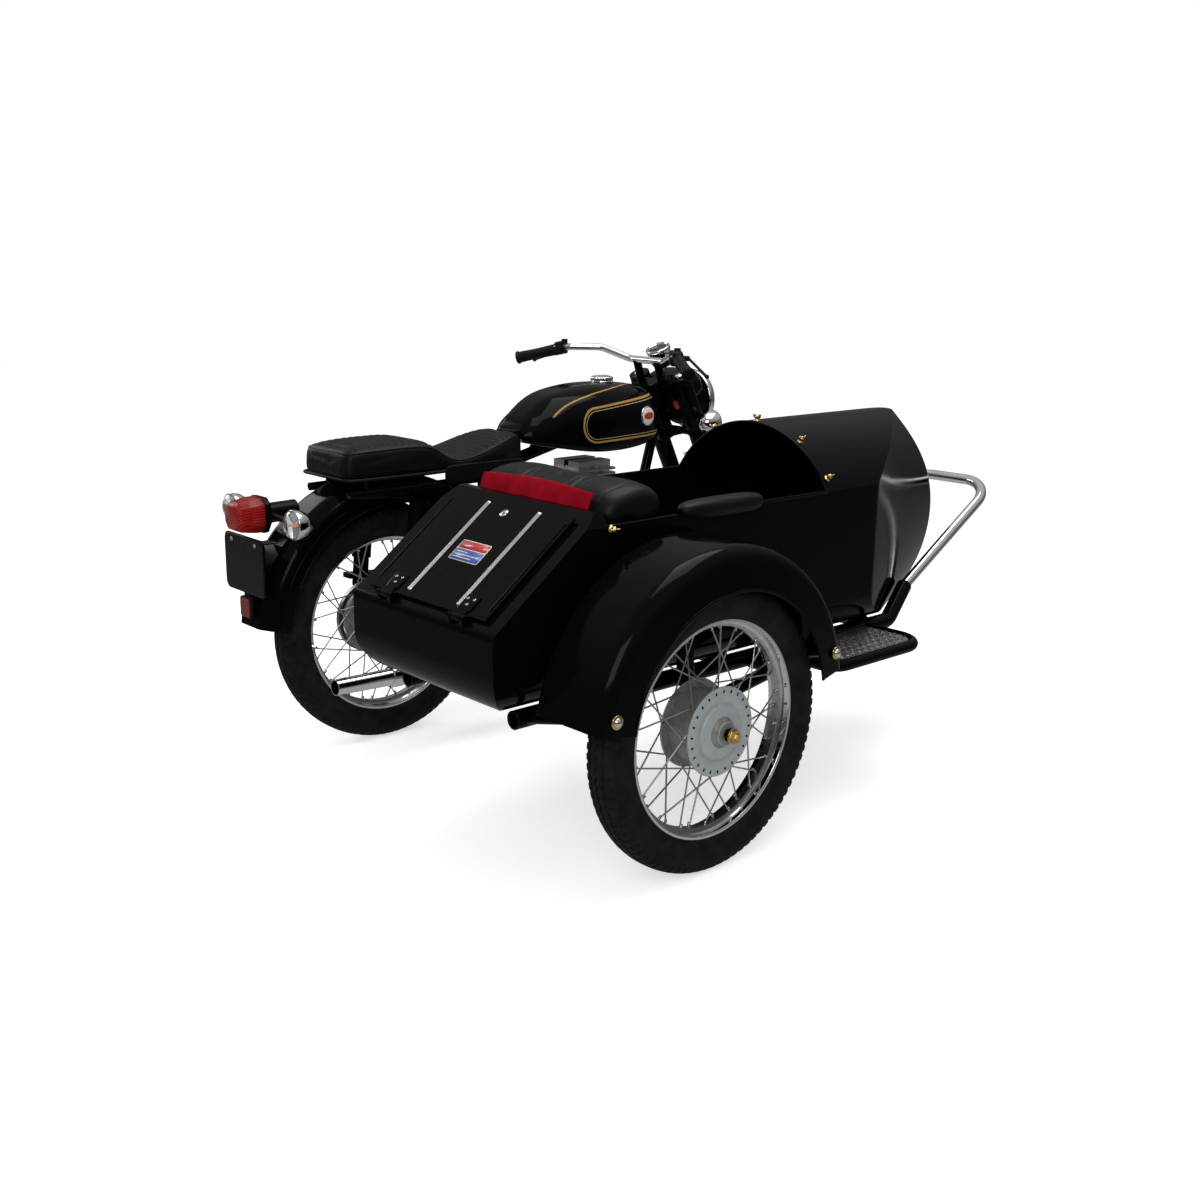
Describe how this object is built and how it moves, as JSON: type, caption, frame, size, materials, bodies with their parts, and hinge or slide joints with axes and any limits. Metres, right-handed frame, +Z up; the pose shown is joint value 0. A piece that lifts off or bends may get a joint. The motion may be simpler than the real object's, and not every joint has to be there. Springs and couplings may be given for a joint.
{
  "type": "sidecar motorcycle",
  "caption": "Classic single-cylinder motorcycle with a one-seat sidecar on its right: steering, wheels, boot lid and centre stand move.",
  "frame": {"origin": "on the floor under the middle of the outfit's outline", "axes": "+X forward, +Y to the rider's left, +Z up; the sidecar is on the -Y side"},
  "size_m": [2.142, 1.6814, 1.059],
  "materials": {
    "black_paint": "deep gloss black enamel",
    "chrome": "bright chrome plate",
    "tyre_rubber": "black tyre rubber",
    "rim_chrome": "chromed rim with dull steel spokes",
    "hub_alloy": "grey cast alloy, slightly weathered",
    "engine_alloy": "bare cast alloy",
    "axle_steel": "plated steel fasteners",
    "chain_steel": "oiled steel chain",
    "black_leather": "black grained leather cloth",
    "black_rubber": "moulded black rubber and plastic",
    "red_lens": "red moulded lens",
    "clear_lens": "chromed bullet with clear lens",
    "brass": "polished brass",
    "step_alloy": "raised-pattern alloy tread plate"
  },
  "bodies": {
    "outfit": {"bike_frame": "black_paint", "swingarm": "black_paint", "rear_axle": "axle_steel", "rear_shocks": "black_paint", "drive_chain": "chain_steel", "chain_guard": "black_paint", "rear_mudguard": "black_paint", "engine_cases": "engine_alloy", "engine_top_end": "engine_alloy", "exhaust": "chrome", "fuel_tank": "black_paint", "fuel_cap": "chrome", "bike_seat": "black_leather", "side_boxes": "black_paint", "tail_bracket": "black_paint", "tail_lamp": "red_lens", "foot_controls": "black_rubber", "rear_indicators": "clear_lens", "sidecar_chassis": "black_paint", "bumper": "chrome", "step_plate": "step_alloy", "sidecar_struts": "black_paint", "sidecar_wheel_arm": "black_paint", "sidecar_shock": "black_paint", "sidecar_mudguard": "black_paint", "sidecar_nose": "black_paint", "sidecar_tub": "black_paint", "sidecar_tail": "black_paint", "boot_hinges": "black_paint", "sidecar_seat": "black_leather", "sidecar_backrest": "black_leather", "arm_pad": "black_leather", "cover_studs": "brass"},
    "steering": {"fork_yokes": "black_paint", "fork_legs": "black_paint", "front_axle": "axle_steel", "front_mudguard": "black_paint", "headlamp": "black_paint", "handlebar": "chrome", "bar_controls": "black_rubber", "speedometer": "chrome", "front_indicators": "clear_lens"},
    "front_wheel": {"front_tyre": "tyre_rubber", "front_wire_rim": "rim_chrome", "front_hub": "hub_alloy"},
    "rear_wheel": {"rear_tyre": "tyre_rubber", "rear_wire_rim": "rim_chrome", "rear_hub": "hub_alloy"},
    "sidecar_wheel": {"sidecar_tyre": "tyre_rubber", "sidecar_wire_rim": "rim_chrome", "sidecar_hub": "hub_alloy"},
    "boot_lid": {"boot_lid": "black_paint"},
    "centre_stand": {"centre_stand": "black_paint"}
  },
  "joints": [
    {"name": "steering", "type": "hinge", "parent": "outfit", "child": "steering", "pos_m": [0.43154, 0.4515, 0.84165], "axis": [-0.4462, 0, 0.8949], "range_deg": [-35, 35]},
    {"name": "front_wheel_spin", "type": "hinge", "parent": "steering", "child": "front_wheel", "pos_m": [0.744, 0.4515, 0.327], "axis": [0, 1, 0], "continuous": true},
    {"name": "rear_wheel_spin", "type": "hinge", "parent": "outfit", "child": "rear_wheel", "pos_m": [-0.626, 0.4515, 0.327], "axis": [0, 1, 0], "continuous": true},
    {"name": "sidecar_wheel_spin", "type": "hinge", "parent": "outfit", "child": "sidecar_wheel", "pos_m": [-0.586, -0.7485, 0.327], "axis": [0, 1, 0], "continuous": true},
    {"name": "boot_lid_hinge", "type": "hinge", "parent": "outfit", "child": "boot_lid", "pos_m": [-1.05616, -0.3485, 0.59803], "axis": [0, -1, 0], "range_deg": [0, 100]},
    {"name": "centre_stand_pivot", "type": "hinge", "parent": "outfit", "child": "centre_stand", "pos_m": [-0.211, 0.4515, 0.246], "axis": [0, -1, 0], "range_deg": [0, 48], "stiffness_Nm_per_rad": 20, "springref_deg": -20.05}
  ]
}
